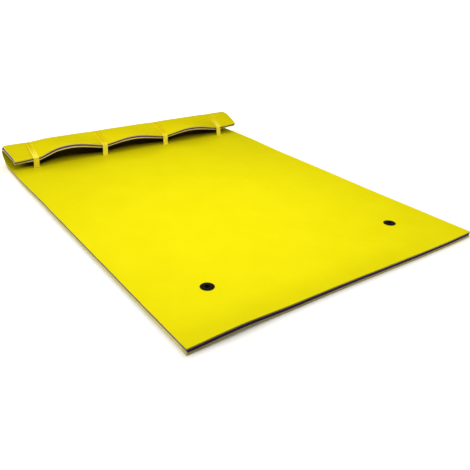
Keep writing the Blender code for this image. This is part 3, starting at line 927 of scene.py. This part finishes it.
def strap_profile():
    """Outline of the webbing's cross-section: (across, out). The selvedge's outline is by
    the distance in from the edge, and by the share of its thickness."""
    half = STRAP_WIDTH / 2
    right = [(half - inset, SELVEDGE_HALF_THICK * share) for inset, share in SELVEDGE_OUTLINE]
    right.append((half - SELVEDGE_WIDTH, MIDDLE_HALF_THICK))
    middle = [(u, MIDDLE_HALF_THICK) for u in MIDDLE_PLACES]
    left = [(-u, w) for u, w in right[::-1]]
    upper = right + middle + left
    return upper + [(u, -w) for u, w in upper[-2:0:-1]]


def swept(name, path, profile, lit_past_lip):
    """A closed ribbon mesh along a path, its width along X, with a UV map in metres. Its colour
    is painted lighter, as painted light, up to a distance past the lip."""
    points = np.array(path)
    ahead = np.gradient(points[:, 1:], axis=0)
    ahead /= np.linalg.norm(ahead, axis=1, keepdims=True)
    out = np.stack([-ahead[:, 1], ahead[:, 0]], -1)
    run = np.concatenate([[0.0], np.cumsum(np.linalg.norm(np.diff(points, axis=0), axis=1))])
    verts, places = [], []
    for point, normal, length in zip(points, out, run):
        for u, w in profile:
            verts.append((point[0] + u, point[1] + normal[0] * w, point[2] + normal[1] * w))
            places.append((u + STRAP_WIDTH / 2, length))
    size = len(profile)
    faces = ring_faces(len(points), size)
    faces.append(list(range(size)))
    faces.append([(len(points) - 1) * size + k for k in range(size)][::-1])
    mesh = bpy.data.meshes.new(name)
    mesh.from_pydata(verts, [], faces)
    layer = mesh.uv_layers.new(name="weave")
    for loop in mesh.loops:
        layer.data[loop.index].uv = places[loop.vertex_index]
    # Painted light on the legs, fading out past the lip
    past_leg = np.maximum(np.arange(len(points)) - points[:, 1].argmin(), 0) * STRAP_STEP
    taut = mesh.attributes.new("taut", "FLOAT", "POINT")
    taut.data.foreach_set("value", np.repeat(LIT_SHARE * (1 - ease(past_leg / lit_past_lip)), size))
    return mesh


for strap_name, strap_x, lit_past_lip in zip(STRAP_NAMES, STRAP_XS, LIT_PAST_LIPS):
    mesh = swept(strap_name, strap_path(strap_x), strap_profile(), lit_past_lip)
    piece = new_piece(f"{strap_name}_webbing", mesh, "yellow_webbing")
    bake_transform(piece)
    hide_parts(strap_name)


# Hook and loop patches
PATCH_CORNER = 0.004
PATCH_BORDER = 0.0018
PATCH_EDGE_SHARE = 0.55
PATCH_EDGE_ROUND = 0.0003
PATCH_SLOPE_SHARE = 0.7


def rounded_outline(low, high, radius, inset):
    """Points round a rectangle with round corners, drawn in by the inset."""
    points = []
    corners = ((high.x, high.y), (low.x, high.y), (low.x, low.y), (high.x, low.y))
    for quarter, (x, y) in enumerate(corners):
        middle_x = x - math.copysign(radius, x - low.x - TINY)
        middle_y = y - math.copysign(radius, y - low.y - TINY)
        for k in range(ARC_STEPS + 1):
            turn = math.pi / 2 * (quarter + k / ARC_STEPS)
            reach = radius - inset
            points.append((middle_x + reach * math.cos(turn), middle_y + reach * math.sin(turn)))
    return points


def patch_mesh(name, low, high):
    """A woven patch: a thin bound border round a field of full height."""
    middle, half = (low.z + high.z) / 2, (high.z - low.z) / 2
    edge = half * PATCH_EDGE_SHARE
    slope = PATCH_BORDER * PATCH_SLOPE_SHARE
    lower = [(PATCH_BORDER, -half), (slope, -edge), (PATCH_EDGE_ROUND, -edge)]
    upper = [(inset, -z) for inset, z in lower[::-1]]
    rings = [(inset, middle + z) for inset, z in [*lower, (0.0, 0.0), *upper]]
    verts = []
    for inset, z in rings:
        verts += [(x, y, z) for x, y in rounded_outline(low, high, PATCH_CORNER, inset)]
    size = len(verts) // len(rings)
    faces = [list(range(size))[::-1], [len(verts) - size + k for k in range(size)]]
    faces += [[a, d, c, b] for a, b, c, d in ring_faces(len(rings), size)]
    mesh = bpy.data.meshes.new(name)
    mesh.from_pydata(verts, [], faces)
    return mesh


for index in range(1, STRAP_COUNT + 1):
    for kind in ("loop", "hook"):
        node_name = f"strap_{index}_{kind}_patch"
        mesh = patch_mesh(node_name, *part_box(node_name))
        piece = new_piece(f"{node_name}_pile", mesh, f"{kind}_pile")
        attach(piece, "mat")
        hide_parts(node_name)


# Grommets
GROMMET_SEAT = THICKNESS + STRAP_RECESS
BORE_RADIUS = 0.0125
BARREL_RADIUS = 0.0145
COLLAR_RADIUS = 0.0235
COLLAR_HEIGHT = 0.0032
COLLAR_SHOULDER = 0.0020
FLANGE_THICKNESS = 0.0016
MOUTH_ROUND = 0.0022
RIM_HEIGHT = 0.0007
RIM_WIDTH = 0.0030
RIM_SLOPE = 0.0008
RIM_START_DEG = -60
COLLAR_FOOT = 0.0012
COLLAR_SLOPE = 0.0003
COLLAR_ROUND = 0.0014
COLLAR_ROUND_START_DEG = 40
BARREL_CHAMFER = 0.0006
WASHER_RADIUS = 0.030
WASHER_THICKNESS = 0.0022
WASHER_RECESS = 0.0003
WASHER_FIT = 0.0003
WASHER_CHAMFERS = (0.0003, 0.0004)
WASHER_ROUND = 0.0011
TURNED_SEGMENTS = 96


def arc_points(middle_radius, middle_z, radius, start_deg, end_deg):
    """Points of an arc in a turned outline, as (radius, z)."""
    turns = np.radians(np.linspace(start_deg, end_deg, ARC_STEPS + 1))
    return [(middle_radius + radius * math.cos(t), middle_z + radius * math.sin(t)) for t in turns]


def eyelet_outline():
    """Flange with a rolled rim, a raised collar round the mouth, and the barrel."""
    top = GROMMET_SEAT + FLANGE_THICKNESS
    crown = GROMMET_SEAT + COLLAR_HEIGHT
    half = FLANGE_THICKNESS / 2
    rim = FLANGE_RADIUS - RIM_WIDTH
    return [
        (BARREL_RADIUS, WASHER_RECESS), (BARREL_RADIUS, GROMMET_SEAT),
        (FLANGE_RADIUS - half, GROMMET_SEAT),
        *arc_points(FLANGE_RADIUS - half, GROMMET_SEAT + half, half, RIM_START_DEG, 90),
        (rim, top), (rim - RIM_SLOPE, top - RIM_HEIGHT),
        (COLLAR_RADIUS + COLLAR_FOOT, top - RIM_HEIGHT),
        (COLLAR_RADIUS + COLLAR_SLOPE, top - RIM_HEIGHT / 2),
        *arc_points(COLLAR_RADIUS - COLLAR_SHOULDER, crown - COLLAR_ROUND, COLLAR_ROUND,
                    COLLAR_ROUND_START_DEG, 90),
        *arc_points(BORE_RADIUS + MOUTH_ROUND, crown - MOUTH_ROUND, MOUTH_ROUND, 90, 180),
        (BORE_RADIUS, WASHER_RECESS + BARREL_CHAMFER), (BORE_RADIUS + BARREL_CHAMFER, WASHER_RECESS),
    ]


def washer_outline():
    """The snap washer under the mat, its outer edge rounded towards the floor."""
    inner, top = BARREL_RADIUS + WASHER_FIT, WASHER_RECESS + WASHER_THICKNESS
    outer_cut, inner_cut = WASHER_CHAMFERS
    return [
        (inner, top), (inner, WASHER_RECESS + inner_cut), (inner + inner_cut, WASHER_RECESS),
        *arc_points(WASHER_RADIUS - WASHER_ROUND, WASHER_RECESS + WASHER_ROUND, WASHER_ROUND, -90, 0),
        (WASHER_RADIUS, top - outer_cut), (WASHER_RADIUS - outer_cut, top),
    ]


def turned_mesh(name, outline, place):
    """A closed (radius, z) outline, anticlockwise, turned round a vertical axis."""
    verts = []
    for k in range(TURNED_SEGMENTS):
        turn = 2 * math.pi * k / TURNED_SEGMENTS
        verts += [(place.x + r * math.cos(turn), place.y + r * math.sin(turn), z) for r, z in outline]
    faces = ring_faces(TURNED_SEGMENTS, len(outline), closed=True)
    mesh = bpy.data.meshes.new(name)
    mesh.from_pydata(settled(np.array(verts)).tolist(), [], faces)
    return mesh


for side, place in zip(("left", "right"), GROMMET_PLACES):
    for part, outline in (("eyelet", eyelet_outline()), ("washer", washer_outline())):
        node_name = f"{side}_grommet_{part}"
        mesh = turned_mesh(node_name, outline, place)
        piece = new_piece(f"{node_name}_moulding", mesh, "black_plastic")
        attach(piece, "mat")
        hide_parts(node_name)


# Floor
FLOOR_HALF = 60.0
FLOOR_SEEN_PAINT = 0.79
FLOOR_GLOW_TINT = (1.0, 0.92, 0.70, 1.0)
FLOOR_NEAR_GLOW = 0.16
FLOOR_FAR_GLOW = 1.30
FLOOR_NEAR_REACH = 0.9
FLOOR_FAR_REACH = 3.5
FLOOR_BOUNCE_GREY = 0.12
LAMP_PLACE = Vector((-0.28, -0.42, 2.00))


def light_path_seen(node):
    """1 for rays from the camera, mirrors and glass, and 0 for the others."""
    path = node("ShaderNodeLightPath")
    first = maths(node, "MAXIMUM", path.outputs["Is Camera Ray"], path.outputs["Is Glossy Ray"])
    return maths(node, "MAXIMUM", first, path.outputs["Is Transmission Ray"])


def floor_glow(node):
    """The seen floor's glow: low under the lamp, so that shadows show, and full far off."""
    place = node("ShaderNodeTexCoord").outputs["Object"]
    under_lamp = (LAMP_PLACE.x, LAMP_PLACE.y, 0.0)
    far = node("ShaderNodeVectorMath", {0: place, 1: under_lamp}, operation="DISTANCE")
    return node("ShaderNodeMapRange", {
        "Value": far.outputs["Value"], "From Min": FLOOR_NEAR_REACH, "From Max": FLOOR_FAR_REACH,
        "To Min": FLOOR_NEAR_GLOW, "To Max": FLOOR_FAR_GLOW,
    }).outputs["Result"]


def build_floor():
    mesh = bpy.data.meshes.new("floor")
    signs = ((-1, -1), (1, -1), (1, 1), (-1, 1))
    corners = [(x * FLOOR_HALF, y * FLOOR_HALF, 0) for x, y in signs]
    mesh.from_pydata(corners, [], [[0, 1, 2, 3]])
    material = bpy.data.materials.new("white_floor")
    material.use_nodes = True
    tree = material.node_tree
    tree.nodes.clear()
    node = node_adder(tree)
    paint = (FLOOR_SEEN_PAINT, FLOOR_SEEN_PAINT, FLOOR_SEEN_PAINT, 1.0)
    grey = (FLOOR_BOUNCE_GREY, FLOOR_BOUNCE_GREY, FLOOR_BOUNCE_GREY, 1.0)
    lit = node("ShaderNodeBsdfDiffuse", {"Color": paint})
    glowing = node("ShaderNodeEmission", {"Color": FLOOR_GLOW_TINT, "Strength": floor_glow(node)})
    seen = node("ShaderNodeAddShader", {0: lit.outputs[0], 1: glowing.outputs[0]})
    unseen = node("ShaderNodeBsdfDiffuse", {"Color": grey})
    mixed = node("ShaderNodeMixShader", {
        0: light_path_seen(node), 1: unseen.outputs[0], 2: seen.outputs[0],
    })
    node("ShaderNodeOutputMaterial", {"Surface": mixed.outputs[0]})
    mesh.materials.append(material)
    floor = bpy.data.objects.new("floor", mesh)
    bpy.context.scene.collection.objects.link(floor)


build_floor()

# Light: a sky that is brightest overhead, a big soft lamp over the middle of the mat, and
# weaker ones from the left and from the front
SKY_OVERHEAD = 0.34
SKY_AT_HORIZON = 0.05
SKY_RISE = (0.25, 0.85)
LAMP_SIZE = 2.40
LAMP_WATTS = 48.0
SUNS = (
    {"name": "side", "strength": 1.6, "angle": 0.9, "from": Vector((-0.92, 0.12, 0.37))},
    {"name": "front", "strength": 0.7, "angle": 0.9, "from": Vector((-0.42, -0.90, 0.12))},
)


def new_lamp(name, kind):
    lamp = bpy.data.lights.new(name, kind)
    holder = bpy.data.objects.new(name, lamp)
    bpy.context.scene.collection.objects.link(holder)
    return lamp, holder


def build_light():
    world = bpy.data.worlds.new("studio")
    bpy.context.scene.world = world
    world.use_nodes = True
    tree = world.node_tree
    tree.nodes.clear()
    node = node_adder(tree)
    white = (1.0, 1.0, 1.0, 1.0)
    upward = node("ShaderNodeSeparateXYZ", {"Vector": node("ShaderNodeTexCoord").outputs["Generated"]})
    strength = node("ShaderNodeMapRange", {
        "Value": upward.outputs["Z"], "From Min": SKY_RISE[0], "From Max": SKY_RISE[1],
        "To Min": SKY_AT_HORIZON, "To Max": SKY_OVERHEAD,
    })
    sky = node("ShaderNodeBackground", {"Color": white, "Strength": strength.outputs["Result"]})
    seen = node("ShaderNodeBackground", {"Color": white, "Strength": 1.0})
    mixed = node("ShaderNodeMixShader", {0: light_path_seen(node), 1: sky.outputs[0], 2: seen.outputs[0]})
    node("ShaderNodeOutputWorld", {"Surface": mixed.outputs[0]})
    lamp, holder = new_lamp("overhead", "AREA")
    lamp.size = LAMP_SIZE
    lamp.energy = LAMP_WATTS
    holder.location = LAMP_PLACE
    for sun in SUNS:
        lamp, holder = new_lamp(sun["name"], "SUN")
        lamp.energy = sun["strength"]
        lamp.angle = sun["angle"]
        holder.rotation_euler = sun["from"].to_track_quat("Z", "Y").to_euler()


build_light()

# Camera, solved from the photograph
CAMERA_LENS_MM = 42.053
CAMERA_SENSOR_MM = 36.0
CAMERA_YAW = math.radians(36.3602)
CAMERA_PITCH = math.radians(26.8938)
CAMERA_ROLL = math.radians(1.7293)
CAMERA_PLACE = Vector((-1.7561, -2.6661, 1.3611))


def build_camera():
    ahead = Vector((math.sin(CAMERA_YAW) * math.cos(CAMERA_PITCH),
                    math.cos(CAMERA_YAW) * math.cos(CAMERA_PITCH), -math.sin(CAMERA_PITCH)))
    level = Vector((math.cos(CAMERA_YAW), -math.sin(CAMERA_YAW), 0.0))
    upward = level.cross(ahead)
    right = math.cos(CAMERA_ROLL) * level + math.sin(CAMERA_ROLL) * upward
    up = math.cos(CAMERA_ROLL) * upward - math.sin(CAMERA_ROLL) * level
    data = bpy.data.cameras.new("camera")
    data.lens = CAMERA_LENS_MM
    data.sensor_width = CAMERA_SENSOR_MM
    camera = bpy.data.objects.new("camera", data)
    turned = Matrix((right, up, -ahead)).transposed().to_4x4()
    camera.matrix_world = Matrix.Translation(CAMERA_PLACE) @ turned
    bpy.context.scene.collection.objects.link(camera)
    bpy.context.scene.camera = camera


build_camera()
bpy.context.scene.view_settings.view_transform = "Standard"
